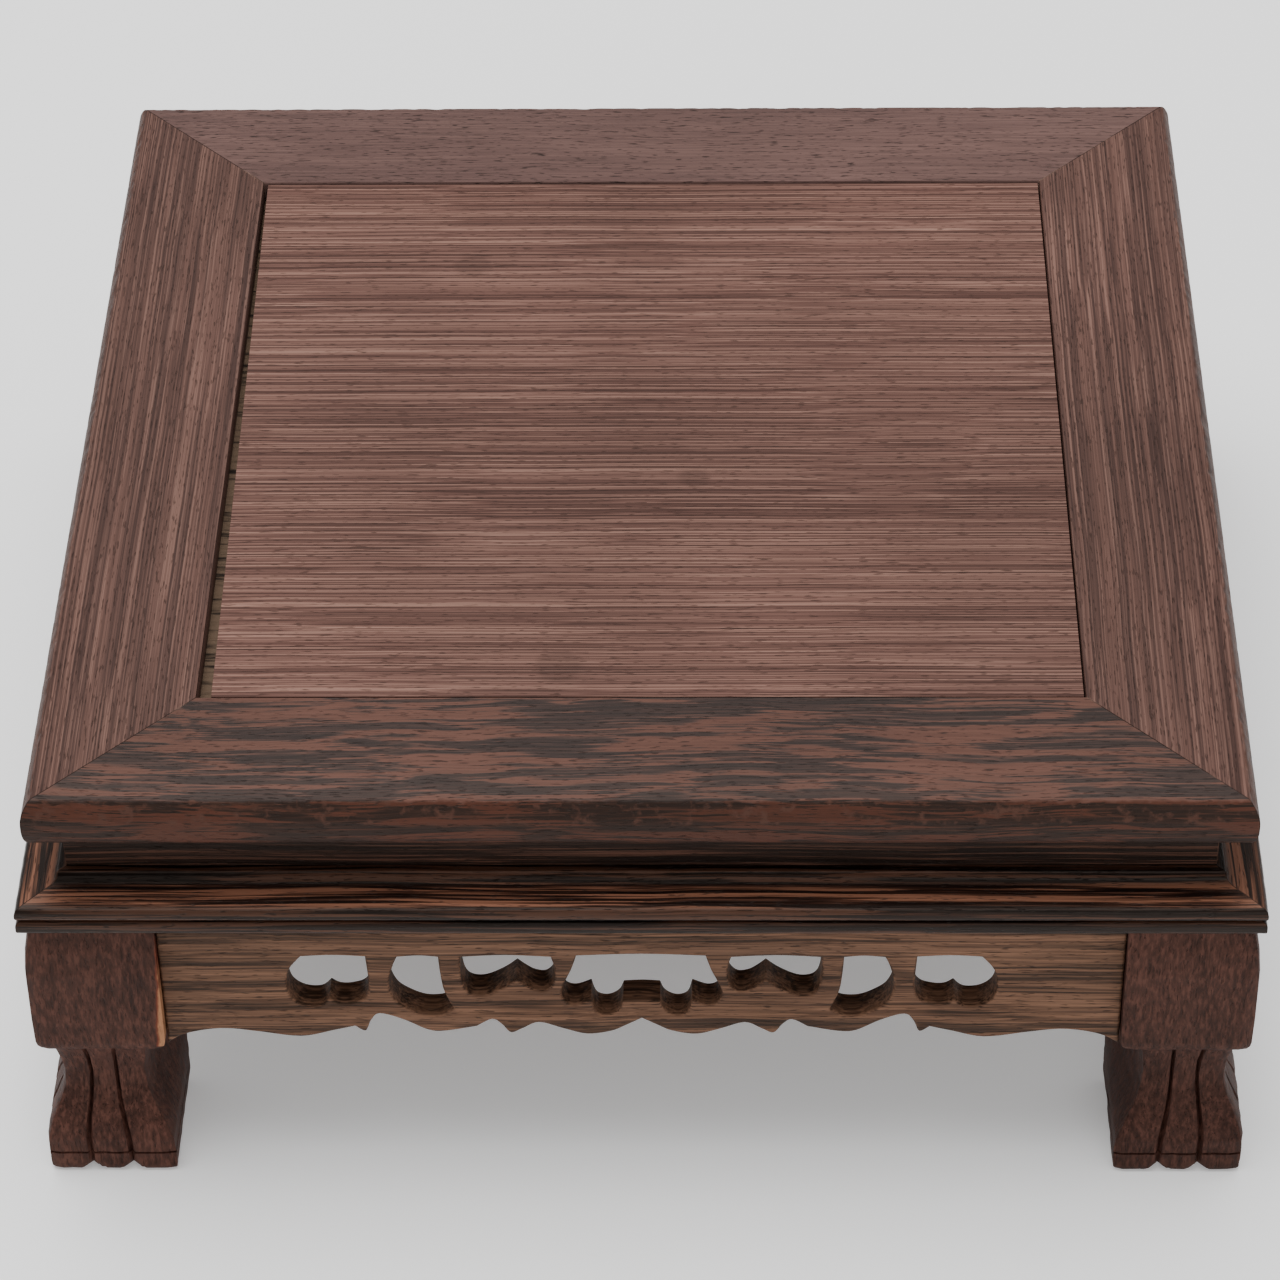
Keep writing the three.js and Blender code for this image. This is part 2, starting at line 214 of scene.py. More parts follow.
def group_with(name, numbers, outputs):
    """An empty node group with a place and the given numbers as inputs, and numbers as outputs."""
    group = bpy.data.node_groups.new(name, "ShaderNodeTree")
    group.interface.new_socket("Vector", in_out="INPUT", socket_type="NodeSocketVector")
    for label, value in numbers.items():
        socket = group.interface.new_socket(label, in_out="INPUT", socket_type="NodeSocketFloat")
        socket.default_value = value
    for label in outputs:
        group.interface.new_socket(label, in_out="OUTPUT", socket_type="NodeSocketFloat")
    entry = group.nodes.new("NodeGroupInput")
    leave = group.nodes.new("NodeGroupOutput")
    return group, entry.outputs, leave.inputs


def close_group(group, sources, result):
    for label, source in sources.items():
        group.links.new(source, result[label])
    return group


def stretched(tree, place, along, across):
    """The place with its grain direction, X, scaled by one amount and the others by another."""
    amounts = wire(tree, "ShaderNodeCombineXYZ", {"X": along, "Y": across, "Z": across})
    return calc_place(tree, "MULTIPLY", place, amounts.outputs[0])


def wood_figure_group():
    """The wood's figure: fine lines along the grain, broad flames, short pores, and slow
    changes of tone. Along and Across are how many waves there are to a metre."""
    group, given, result = group_with(
        "wood_figure",
        {"Along": 12.0, "Across": 1000.0, "Wander": 0.0006, "Flame Along": 20.0, "Flame Across": 150.0,
         "Streak": 0.4},
        ["Lines", "Flames", "Pores", "Tone"],
    )
    drift = uneven(group, given["Vector"], scale=WANDER_SCALE, detail=2.0)
    centred = calc_place(group, "SUBTRACT", drift["Color"], (0.5, 0.5, 0.5))
    offset = wire(group, "ShaderNodeVectorMath", {0: centred, "Scale": given["Wander"]}, operation="SCALE")
    bent = calc_place(group, "ADD", given["Vector"], offset.outputs[0])
    fine = stretched(group, bent, given["Along"], given["Across"])
    lines = uneven(group, fine, scale=1.0, detail=3.0, roughness=0.62)
    broad = stretched(group, bent, given["Flame Along"], given["Flame Across"])
    flames = uneven(group, broad, scale=1.0, detail=2.5, distortion=0.7)
    streak = calc(group, "SUBTRACT", lines["Fac"], 0.5)
    streaky = calc(group, "MULTIPLY_ADD", streak, given["Streak"], flames["Fac"])
    dashes = uneven(group, calc_place(group, "MULTIPLY", bent, PORE_STRETCH), scale=1.0, detail=1.0)
    pores = spread(group, dashes["Fac"], low=0.62, high=0.72)
    tone = uneven(group, given["Vector"], scale=TONE_SCALE, detail=3.0)
    return close_group(
        group, {"Lines": lines["Fac"], "Flames": streaky, "Pores": pores, "Tone": tone["Fac"]}, result)


WOOD_FIGURE = wood_figure_group()


def striped_wood(name, axis, seed, figure, lines, flames, flame_share, pore_colour, pore_share,
                 roughness, relief, sheen=0.16, marks=()):
    """Hardwood with its grain along one axis. The lines and the flames are two ramps of colour.
    Each mark is a function that changes the colour at its own places."""
    material = bpy.data.materials.new(name)
    material.use_nodes = True
    tree = material.node_tree
    shader = tree.nodes["Principled BSDF"].inputs
    place = wire(tree, "ShaderNodeTexCoord").outputs["Object"]
    shift = [seed * step for step in BOARD_SHIFT]
    turned = wire(tree, "ShaderNodeMapping",
                  {"Vector": place, "Location": shift, "Rotation": GRAIN_TURN[axis]}).outputs[0]
    wood = use_group(tree, WOOD_FIGURE, {"Vector": turned, **figure})
    line_colour = ramp(tree, wood["Lines"], lines)
    flame_colour = ramp(tree, wood["Flames"], flames)
    colour = blend_colour(tree, flame_share, line_colour, flame_colour)
    tone = spread(tree, wood["Tone"], *MIDDLE_VALUES, *TONE_CHANGE)
    colour = blend_colour(tree, 1.0, colour, tone, "MULTIPLY")
    specks = calc(tree, "MULTIPLY", wood["Pores"], pore_share)
    colour = blend_colour(tree, specks, colour, opaque(pore_colour))
    for mark in marks:
        colour = mark(tree, place, colour)
    tree.links.new(colour, shader["Base Color"])
    gloss = spread(tree, wood["Lines"], *MIDDLE_VALUES, roughness - GLOSS_CHANGE, roughness + GLOSS_CHANGE)
    tree.links.new(gloss, shader["Roughness"])
    shader["Specular IOR Level"].default_value = sheen
    shader["Specular Tint"].default_value = WARM_SHEEN
    height = calc(tree, "SUBTRACT", wood["Lines"], wood["Pores"])
    bump = wire(tree, "ShaderNodeBump", {"Height": height, "Strength": 1.0, "Distance": relief})
    tree.links.new(bump.outputs[0], shader["Normal"])
    return material


def coordinates(tree, place):
    return wire(tree, "ShaderNodeSeparateXYZ", {0: place}).outputs


def reach_out(tree, parts):
    """How far out a point is from the middle, square to the nearest side."""
    sideways = calc(tree, "ABSOLUTE", parts["X"])
    depth = calc(tree, "ABSOLUTE", parts["Y"])
    return calc(tree, "MAXIMUM", sideways, depth)


def mitre_line_group():
    """The thin line along the diagonal where two mitred pieces meet, bare of stain in places."""
    group, given, result = group_with("mitre_line", {"Width": 0.2 * MM}, ["Line", "Bare"])
    parts = coordinates(group, given["Vector"])
    sideways = calc(group, "ABSOLUTE", parts["X"])
    depth = calc(group, "ABSOLUTE", parts["Y"])
    distance = calc(group, "ABSOLUTE", calc(group, "SUBTRACT", sideways, depth))
    line = spread(group, distance, low=given["Width"], high=0.0)
    broken = uneven(group, given["Vector"], scale=90.0, detail=3.0)
    bare = spread(group, broken["Fac"], low=0.5, high=0.62)
    return close_group(group, {"Line": line, "Bare": bare}, result)


MITRE_LINE = mitre_line_group()


def mitre_mark(dark, bare):
    def mark(tree, place, colour):
        seam = use_group(tree, MITRE_LINE, {"Vector": place})
        shade = blend_colour(tree, seam["Bare"], opaque(dark), opaque(bare))
        return blend_colour(tree, seam["Line"], colour, shade)
    return mark


BEAD_RAGGED = 1.2


def bead_zone_group():
    """The bead outside the arris, where painted shade goes, and the part of it that is rubbed and nicked."""
    group, given, result = group_with(
        "bead_zone", {"Arris": ARRIS * MM, "Worn Above": 77.6 * MM}, ["Bead", "Worn"])
    parts = coordinates(group, given["Vector"])
    reach = reach_out(group, parts)
    patches = uneven(group, given["Vector"], scale=520.0, detail=4.0)["Fac"]
    shifted = calc(group, "MULTIPLY_ADD", patches, BEAD_RAGGED * MM, -BEAD_RAGGED / 2 * MM)
    past = calc(group, "SUBTRACT", calc(group, "ADD", reach, shifted), given["Arris"])
    bead = spread(group, past, low=-0.2 * MM, high=0.2 * MM)
    lift = calc(group, "SUBTRACT", parts["Z"], given["Worn Above"])
    above = spread(group, lift, low=-0.4 * MM, high=0.4 * MM)
    nicks = spread(group, patches, low=0.55, high=0.68)
    worn = calc(group, "MULTIPLY", above, nicks)
    worn_bead = calc(group, "MULTIPLY", worn, bead)
    return close_group(group, {"Bead": bead, "Worn": worn_bead}, result)


BEAD_ZONE = bead_zone_group()
# The whole bead outside the arris is multiplied by a painted shade, darker than the top face as it turns
# away from the overhead light; the rubbed colour on its upper part is real wear.
BEAD_PAINTED_SHADE = (0.64, 0.49, 0.41)
RUBBED_WOOD = (0.06, 0.026, 0.018)


def bead_shade_and_wear_mark(tree, place, colour):
    zone = use_group(tree, BEAD_ZONE, {"Vector": place})
    dark = blend_colour(tree, 1.0, colour, opaque(BEAD_PAINTED_SHADE), "MULTIPLY")
    rubbed = blend_colour(tree, zone["Worn"], dark, opaque(RUBBED_WOOD))
    return blend_colour(tree, zone["Bead"], colour, rubbed)


FRAME_MARKS = (bead_shade_and_wear_mark, mitre_mark(dark=(0.02, 0.01, 0.008), bare=(0.26, 0.16, 0.12)))
STRAIGHT = {"Along": 7.0, "Across": 2700.0, "Wander": 0.001, "Flame Along": 5.0, "Flame Across": 620.0,
            "Streak": 0.5}
FLAMED = {"Along": 30.0, "Across": 2600.0, "Wander": 0.005, "Flame Along": 42.0, "Flame Across": 470.0,
          "Streak": 0.6}
EVEN = {"Along": 40.0, "Across": 2200.0, "Wander": 0.003, "Flame Along": 12.0, "Flame Across": 160.0,
        "Streak": 0.3}
side_wood = striped_wood(
    "frame_wood_side", axis="y", seed=1, figure=STRAIGHT,
    lines=[(0.4, (0.0348, 0.0167, 0.0138)), (0.49, (0.072, 0.0356, 0.0286)),
           (0.55, (0.096, 0.0486, 0.0387)), (0.64, (0.18, 0.0999, 0.0784))],
    flames=[(0.42, (0.042, 0.0221, 0.0186)), (0.58, (0.111, 0.0562, 0.044))], flame_share=0.4,
    pore_colour=(0.018, 0.0092, 0.0074), pore_share=0.6, roughness=0.55, relief=0.08 * MM,
    marks=FRAME_MARKS)
front_wood = striped_wood(
    "frame_wood_front", axis="x", seed=3, figure=FLAMED,
    lines=[(0.38, (0.028, 0.0189, 0.0167)), (0.5, (0.0616, 0.0356, 0.0292)),
           (0.62, (0.1176, 0.0621, 0.0486))],
    flames=[(0.45, (0.0185, 0.0142, 0.0137)), (0.5, (0.0445, 0.0275, 0.0235)),
            (0.55, (0.104, 0.0445, 0.032))], flame_share=0.72,
    pore_colour=(0.0123, 0.0086, 0.0076), pore_share=0.75, roughness=0.5, relief=0.08 * MM,
    marks=FRAME_MARKS)
back_wood = striped_wood(
    "frame_wood_back", axis="x", seed=5, figure=EVEN,
    lines=[(0.38, (0.07, 0.0394, 0.0343)), (0.5, (0.098, 0.0544, 0.0476)), (0.62, (0.133, 0.0762, 0.0658))],
    flames=[(0.4, (0.0805, 0.0449, 0.0399)), (0.6, (0.1085, 0.0612, 0.0532))], flame_share=0.5,
    pore_colour=(0.0168, 0.0095, 0.0084), pore_share=0.95, roughness=0.55, relief=0.09 * MM,
    marks=FRAME_MARKS)


def catmull(points, steps):
    """More points along a smooth curve through the given ones."""
    result = []
    count = len(points)
    for i in range(count - 1):
        before = points[max(i - 1, 0)]
        after = points[min(i + 2, count - 1)]
        for step in range(steps):
            t = step / steps
            result.append(tuple(
                0.5 * (2 * b + (c - a) * t + (2 * a - 5 * b + 4 * c - d) * t * t
                       + (3 * b - a - 3 * c + d) * t ** 3)
                for a, b, c, d in zip(before, points[i], points[i + 1], after)
            ))
    result.append(tuple(points[-1]))
    return result


def finished(name, mesh, turns, material, sharp_angle=35, weld=None):
    """The mesh as a smooth piece. It is drawn at the front and turned to its own side of the
    stand by quarter turns."""
    mesh.transform(Matrix.Rotation(turns * math.pi / 2, 4, "Z"))
    shell = bmesh.new()
    shell.from_mesh(mesh)
    if weld:
        bmesh.ops.remove_doubles(shell, verts=shell.verts, dist=weld)
    bmesh.ops.recalc_face_normals(shell, faces=shell.faces)
    shell.to_mesh(mesh)
    shell.free()
    mesh.materials.clear()
    mesh.materials.append(material)
    mesh.polygons.foreach_set("use_smooth", [True] * len(mesh.polygons))
    mesh.set_sharp_from_angle(angle=math.radians(sharp_angle))
    piece = bpy.data.objects.new(name, mesh)
    bpy.context.collection.objects.link(piece)
    return piece


def lofted(name, rings, turns, material, sharp_angle=35):
    """A closed skin over like rings of points, which are in millimetres."""
    count = len(rings[0])
    verts = [[value * MM for value in point] for ring in rings for point in ring]
    faces = []
    for first in range(0, len(verts) - count, count):
        for i in range(count):
            a = first + i
            b = first + (i + 1) % count
            faces.append((a, b, b + count, a + count))
    faces.append(tuple(reversed(range(count))))
    faces.append(tuple(range(len(verts) - count, len(verts))))
    mesh = bpy.data.meshes.new(name)
    mesh.from_pydata(verts, [], faces)
    return finished(name, mesh, turns, material, sharp_angle)


MEMBER_STEPS = 260
MITRE_GAP = 0.05
WEAR_ALONG = 420.0
WEAR_UPRIGHT = 0.35
WEAR_SIDE_SHIFT = 7.3
WEAR_ROUGHNESS = (1.0, 2.0, 4)
WEAR_DEPTH = 0.55
WEAR_SPREAD = 0.1
WEAR_DROP = 0.35


def mitred_member(name, profile, turns, material):
    """A mitred bar along one side. The profile holds (reach, height, wear) in millimetres, and
    wear is how deep the edge is knocked in there."""
    rings = []
    for step in range(MEMBER_STEPS + 1):
        share = 2 * step / MEMBER_STEPS - 1
        ring = []
        for reach, height, wear in profile:
            x = share * (reach - MITRE_GAP)
            place = Vector((x * MM * WEAR_ALONG, turns * WEAR_SIDE_SHIFT, height * WEAR_UPRIGHT))
            knocks = noise.fractal(place, *WEAR_ROUGHNESS)
            dent = WEAR_DEPTH * wear * max(0.0, knocks + WEAR_SPREAD)
            ring.append((x, dent - reach, height - dent * WEAR_DROP))
        rings.append(ring)
    return lofted(name, rings, turns, material)


FRAME_BEAD = catmull([
    (ARRIS - 0.35, TOP - 0.02, 0.25), (ARRIS + 0.15, TOP - 0.3, 0.5), (ARRIS + 0.7, TOP - 1.1, 0.45),
    (ARRIS + 1.2, TOP - 2.2, 0.3), (BEAD - 0.12, TOP - 3.1, 0.12), (BEAD - 0.02, TOP - 4.2, 0.05),
    (BEAD - 0.05, TOP - 6, 0.03), (BEAD - 0.3, UNDERSIDE + 1.2, 0.05), (BEAD - 0.8, UNDERSIDE + 0.3, 0.1),
    (BEAD - 1.5, UNDERSIDE + 0.02, 0.05),
], steps=3)
FRAME_PROFILE = [
    (OPENING + 0.12, TOP, 0), (OPENING + 0.6, TOP, 0), (FACE_MIDDLE, TOP, 0), *FRAME_BEAD,
    (UNDER_MIDDLE, UNDERSIDE, 0), (OPENING, UNDERSIDE, 0), (OPENING, GROOVE_LOW, 0),
    (GROOVE_REACH, GROOVE_LOW, 0), (GROOVE_REACH, GROOVE_HIGH, 0), (OPENING, GROOVE_HIGH, 0),
    (OPENING, TOP - 0.25, 0.05),
]
for turns, (side, wood) in enumerate(zip(SIDES, (front_wood, side_wood, back_wood, side_wood))):
    member = mitred_member(f"frame_member_{side}", FRAME_PROFILE, turns, wood)
    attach(member, "root")
    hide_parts(f"frame_{side}")


# Four loose splines of the same wood are glued into slots across the mitres. They are plain
# sawn strips, out of sight once the frame is closed.
CORNERS = ("front_left", "front_right", "back_right", "back_left")


def give_wood(node, material):
    """A CAD node keeps its shape and gets this wood."""
    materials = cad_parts[node].data.materials
    materials.clear()
    materials.append(material)


for corner in CORNERS:
    give_wood(f"mitre_spline_{corner}", side_wood)


# The panel is one quarter-sawn board that lies loose in the frame's groove, on a batten of
# the same wood. It has shrunk away from the left member, where its tongue shows bare and
# cracked, and a few round stains darken its face.
PANEL_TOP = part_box("top_panel")[1][2]
PANEL_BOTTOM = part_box("top_panel")[0][2]
TONGUE_RIGHT_END = -60 * MM
BARE_TONGUE = (0.125, 0.082, 0.054)
TONGUE_CRACK = (0.012, 0.008, 0.006)
CRACK_STRETCH = (90.0, 900.0, 90.0)
STAIN_RAGGED = 2
STAINS = ((-31.9, 45.9, 3.2), (8.2, -15.3, 2.6), (-13.3, -63.9, 3.8))


def tongue_group():
    """The part of the tongue that shows in the gap at the left, and the cracks in it."""
    group, given, result = group_with(
        "panel_tongue", {"Below": PANEL_TOP - 0.6 * MM, "Above": PANEL_BOTTOM + 1.3 * MM},
        ["Tongue", "Crack"])
    parts = coordinates(group, given["Vector"])
    lower = calc(group, "LESS_THAN", parts["Z"], given["Below"])
    higher = calc(group, "GREATER_THAN", parts["Z"], given["Above"])
    left = calc(group, "LESS_THAN", parts["X"], TONGUE_RIGHT_END)
    tongue = calc(group, "MULTIPLY", calc(group, "MULTIPLY", lower, higher), left)
    crack_place = calc_place(group, "MULTIPLY", given["Vector"], CRACK_STRETCH)
    split = uneven(group, crack_place, scale=1.0, detail=3.0)
    crack = spread(group, split["Fac"], low=0.5, high=0.66)
    return close_group(group, {"Tongue": tongue, "Crack": crack}, result)


def stain_group():
    """Round stains with ragged edges. Each has its place on the panel and its radius."""
    group, given, result = group_with("panel_stains", {"Dark": 0.78}, ["Shade"])
    ragged = uneven(group, given["Vector"], scale=380.0, detail=2.0)["Fac"]
    covered = 0.0
    for x, y, radius in STAINS:
        centre = (x * MM, y * MM, TOP * MM)
        apart = wire(group, "ShaderNodeVectorMath", {0: given["Vector"], 1: centre}, operation="DISTANCE")
        edge = calc(group, "MULTIPLY_ADD", ragged, STAIN_RAGGED * MM, apart.outputs["Value"])
        spot = spread(group, edge, low=(radius + 1.6) * MM, high=(radius + 0.4) * MM)
        covered = calc(group, "MAXIMUM", spot, covered)
    shade = spread(group, covered, low=0.0, high=1.0, first=1.0, last=given["Dark"])
    return close_group(group, {"Shade": shade}, result)


TONGUE = tongue_group()
STAINED = stain_group()


def stain_mark(tree, place, colour):
    stains = use_group(tree, STAINED, {"Vector": place})
    return blend_colour(tree, 1.0, colour, stains["Shade"], "MULTIPLY")


def tongue_mark(tree, place, colour):
    step = use_group(tree, TONGUE, {"Vector": place})
    bare = blend_colour(tree, step["Crack"], opaque(BARE_TONGUE), opaque(TONGUE_CRACK))
    return blend_colour(tree, step["Tongue"], colour, bare)


QUARTERED = {"Along": 5.0, "Across": 3000.0, "Wander": 0.001, "Flame Along": 3.0, "Flame Across": 700.0,
             "Streak": 0.4}
panel_wood = striped_wood(
    "panel_wood", axis="x", seed=8, figure=QUARTERED,
    lines=[(0.41, (0.033, 0.0145, 0.0115)), (0.48, (0.083, 0.0385, 0.0305)),
           (0.54, (0.118, 0.058, 0.0455)), (0.61, (0.238, 0.134, 0.103))],
    flames=[(0.4, (0.0735, 0.0338, 0.027)), (0.6, (0.145, 0.0742, 0.0587))], flame_share=0.26,
    pore_colour=(0.0235, 0.0105, 0.0082), pore_share=0.7, roughness=0.6, relief=0.06 * MM,
    marks=(stain_mark, tongue_mark))
for node in ("top_panel", "panel_batten"):
    give_wood(node, panel_wood)


# The waist is four thin strips set back under the frame, of a nearly black wood with brown
# lines, polished, and mitred at the corners.
AXES = ("x", "y", "x", "y")
STREAKED = {"Along": 16.0, "Across": 2400.0, "Wander": 0.002, "Flame Along": 16.0, "Flame Across": 900.0,
            "Streak": 0.35}
DARK_LINES = [(0.42, (0.005, 0.0025, 0.002)), (0.53, (0.02, 0.009, 0.006)), (0.64, (0.11, 0.047, 0.03))]
dark_mitre_mark = mitre_mark(dark=(0.01, 0.005, 0.004), bare=(0.1, 0.05, 0.035))
waist_wood = {
    axis: striped_wood(
        f"waist_wood_{axis}", axis=axis, seed=11, figure=STREAKED, lines=DARK_LINES,
        flames=[(0.5, (0.008, 0.005, 0.004)), (0.75, (0.04, 0.02, 0.015))], flame_share=0.5,
        pore_colour=(0.006, 0.004, 0.003), pore_share=0.6, roughness=0.4, relief=0.05 * MM,
        marks=(dark_mitre_mark,))
    for axis in "xy"
}
for side, axis in zip(SIDES, AXES):
    give_wood(f"waist_{side}", waist_wood[axis])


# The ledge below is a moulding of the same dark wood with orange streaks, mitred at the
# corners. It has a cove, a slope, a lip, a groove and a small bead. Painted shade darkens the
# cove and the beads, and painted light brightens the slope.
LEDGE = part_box("moulding_front")[1][2] / MM
MOULDING_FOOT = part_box("moulding_front")[0][2] / MM
MOULDING_BACK = 77.1
LEDGE_MIDDLE = 86
LIP = -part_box("moulding_front")[0][1] / MM - 0.02
WAIST = -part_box("waist_front")[0][1] / MM


def ledge_zone_group():
    """Painted light on the slope, between its two reaches, and painted shade inside and outside it."""
    group, given, result = group_with(
        "ledge_zone",
        {"Slope From": 94.3 * MM, "Slope To": 99.1 * MM, "Dark": 0.35, "Bright": 1.45}, ["Shade"])
    reach = reach_out(group, coordinates(group, given["Vector"]))
    inner = calc(group, "SUBTRACT", reach, given["Slope From"])
    outer = calc(group, "SUBTRACT", given["Slope To"], reach)
    nearer = calc(group, "MINIMUM", inner, outer)
    shade = spread(group, nearer, low=-0.3 * MM, high=0.4 * MM, first=given["Dark"], last=given["Bright"])
    return close_group(group, {"Shade": shade}, result)


LEDGE_PAINTED_LIGHT_AND_SHADE = ledge_zone_group()


# Painted light on the upward slope and painted shade in the cove and on the beads, multiplied into the
# wood's colour.
def slope_light_and_cove_shade_mark(tree, place, colour):
    zone = use_group(tree, LEDGE_PAINTED_LIGHT_AND_SHADE, {"Vector": place})
    return blend_colour(tree, 1.0, colour, zone["Shade"], "MULTIPLY")


moulding_wood = {
    axis: striped_wood(
        f"moulding_wood_{axis}", axis=axis, seed=13, figure=STREAKED, lines=DARK_LINES,
        flames=[(0.45, (0.005, 0.0025, 0.002)), (0.52, (0.03, 0.012, 0.0075)), (0.59, (0.2, 0.085, 0.05))],
        flame_share=0.62, pore_colour=(0.006, 0.003, 0.003), pore_share=0.7, roughness=0.36,
        relief=0.06 * MM, sheen=0.2, marks=(slope_light_and_cove_shade_mark, dark_mitre_mark))
    for axis in "xy"
}
LEDGE_EDGE = catmull([
    (WAIST + 1.0, LEDGE, 0.02), (WAIST + 1.3, LEDGE - 0.12, 0.15), (WAIST + 1.38, LEDGE - 0.5, 0.05),
    (WAIST + 1.45, LEDGE - 1.1, 0), (WAIST + 1.8, LEDGE - 1.7, 0), (WAIST + 2.6, LEDGE - 2.1, 0),
    (WAIST + 4.5, LEDGE - 2.25, 0), (LIP - 1.4, LEDGE - 2.5, 0.02), (LIP - 0.5, LEDGE - 2.8, 0.08),
    (LIP - 0.1, LEDGE - 3.3, 0.15), (LIP, LEDGE - 4.1, 0.1), (LIP - 0.15, LEDGE - 4.7, 0.12),
    (LIP - 0.9, LEDGE - 5, 0),
], steps=3)
LOWER_BEAD = catmull([
    (LIP - 0.95, LEDGE - 5.35, 0), (LIP - 0.35, LEDGE - 5.5, 0.03), (LIP - 0.03, LEDGE - 6.0, 0.06),
    (LIP, LEDGE - 6.6, 0.08), (LIP - 0.02, MOULDING_FOOT + 0.5, 0.1), (LIP - 0.3, MOULDING_FOOT + 0.1, 0.12),
    (LIP - 1, MOULDING_FOOT, 0.02),
], steps=3)
MOULDING_PROFILE = [
    (MOULDING_BACK, LEDGE, 0), (LEDGE_MIDDLE, LEDGE, 0), *LEDGE_EDGE, *LOWER_BEAD,
    (MOULDING_BACK, MOULDING_FOOT, 0),
]
for turns, (side, axis) in enumerate(zip(SIDES, AXES)):
    member = mitred_member(f"ledge_{side}", MOULDING_PROFILE, turns, moulding_wood[axis])
    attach(member, "root")
    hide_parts(f"moulding_{side}")


# Each apron is one thin board of a paler brown wood, sawn out in seven openings and
# scalloped below, with its edges eased by hand. Stub tenons at its ends go into the legs.
APRON_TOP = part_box("apron_front")[1][2] / MM
APRON_FACE = -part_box("apron_front")[0][1] / MM
APRON_THICKNESS = 5.2
APRON_END = 78.0
EASED_EDGE = 0.45
WELD = 0.001 * MM
LOWER_LOBES = [
    [(78, 28.4), (75.5, 30.2), (72, 31.3), (68, 31.7), (63, 31), (56, 29.9), (50.5, 31.3), (47, 32.3)],
    [(47, 32.3), (45.3, 31.2), (44.3, 33.6), (42.8, 35.2), (39, 33.8), (35, 31.4), (32, 31.2), (27, 32.3)],
    [(27, 32.3), (24.5, 33.9), (23, 32.8), (21.5, 30.8), (19.5, 31.8), (16.8, 33.2), (13, 31.8), (9, 30.5),
     (5, 31.2), (2.5, 32.6), (0, 34.2)],
]
OUTER_OPENING = [
    [(44.6, 48.3), (50, 48.6), (55, 48.3)],
    [(55, 48.3), (57, 45.4), (57.6, 42), (57, 39), (55, 37.3), (52.4, 37.2), (50.8, 38.8)],
    [(50.8, 38.8), (49.4, 37.8), (47.4, 37.8), (45.2, 38.8), (44.3, 41.5), (44.6, 48.3)],
]
CRESCENT_OPENING = [
    [(32.8, 48.2), (36, 48.5), (39.4, 48.2)],
    [(39.4, 48.2), (40.3, 45.7), (41, 41.8), (40, 38.3), (38, 36.4), (35.4, 35.1), (32.6, 35.2),
     (30.7, 36.5)],
    [(30.7, 36.5), (32.1, 40.4), (32.6, 44.6), (32.8, 48.2)],
]
INNER_OPENING = [
    [(14.6, 48.2), (22, 48.6), (29.2, 48.2)],
    [(29.2, 48.2), (29.2, 44), (28.3, 40.4), (25.8, 39.6), (22.6, 41.2), (20.2, 43.3)],
    [(20.2, 43.3), (18.9, 42), (17.4, 40.9), (15.6, 40.7), (14.3, 42.4), (14, 45.4), (14.6, 48.2)],
]
CENTRE_OPENING = [
    [(-10.4, 48.5), (0, 48.9), (10.4, 48.5)],
    [(10.4, 48.5), (11.3, 45.3), (13, 40.6), (12.4, 38.2), (10.7, 37.5), (8.2, 38.6)],
    [(8.2, 38.6), (7.4, 35.8), (5.6, 35.1), (3.8, 36.2), (3, 38.2)],
    [(3, 38.2), (0, 38.4), (-3, 38.2)],
    [(-3, 38.2), (-3.8, 36.2), (-5.6, 35.1), (-7.4, 35.8), (-8.2, 38.6)],
    [(-8.2, 38.6), (-10.7, 37.5), (-12.4, 38.2), (-13, 40.6), (-11.3, 45.3), (-10.4, 48.5)],
]
CARVED = {"Along": 24.0, "Across": 2200.0, "Wander": 0.003, "Flame Along": 14.0, "Flame Across": 420.0,
          "Streak": 0.45}
apron_wood = {
    axis: striped_wood(
        f"apron_wood_{axis}", axis=axis, seed=17, figure=CARVED,
        lines=[(0.38, (0.0238, 0.0118, 0.007)), (0.49, (0.0748, 0.0372, 0.022)),
               (0.64, (0.1836, 0.0961, 0.058))],
        flames=[(0.42, (0.0204, 0.0118, 0.0075)), (0.5, (0.0816, 0.0403, 0.0238)),
                (0.6, (0.1428, 0.0732, 0.0435))], flame_share=0.5,
        pore_colour=(0.0136, 0.0068, 0.0046), pore_share=0.7, roughness=0.6, relief=0.1 * MM)
    for axis in "xy"
}


def smooth_runs(runs):
    """One outline from runs of smooth curve that meet at sharp points."""
    points = []
    for run in runs:
        points += catmull(run, steps=5)[:-1]
    return points


def mirrored(points):
    return [(-x, z) for x, z in reversed(points)]


def apron_outlines():
    right_edge = smooth_runs(LOWER_LOBES)
    top = [(-APRON_END, APRON_TOP), (APRON_END, APRON_TOP)]
    outline = [*top, *right_edge, LOWER_LOBES[-1][-1], *mirrored(right_edge)]
    right = [smooth_runs(runs) for runs in (OUTER_OPENING, CRESCENT_OPENING, INNER_OPENING)]
    return [outline, smooth_runs(CENTRE_OPENING), *right, *(mirrored(ring) for ring in right)]


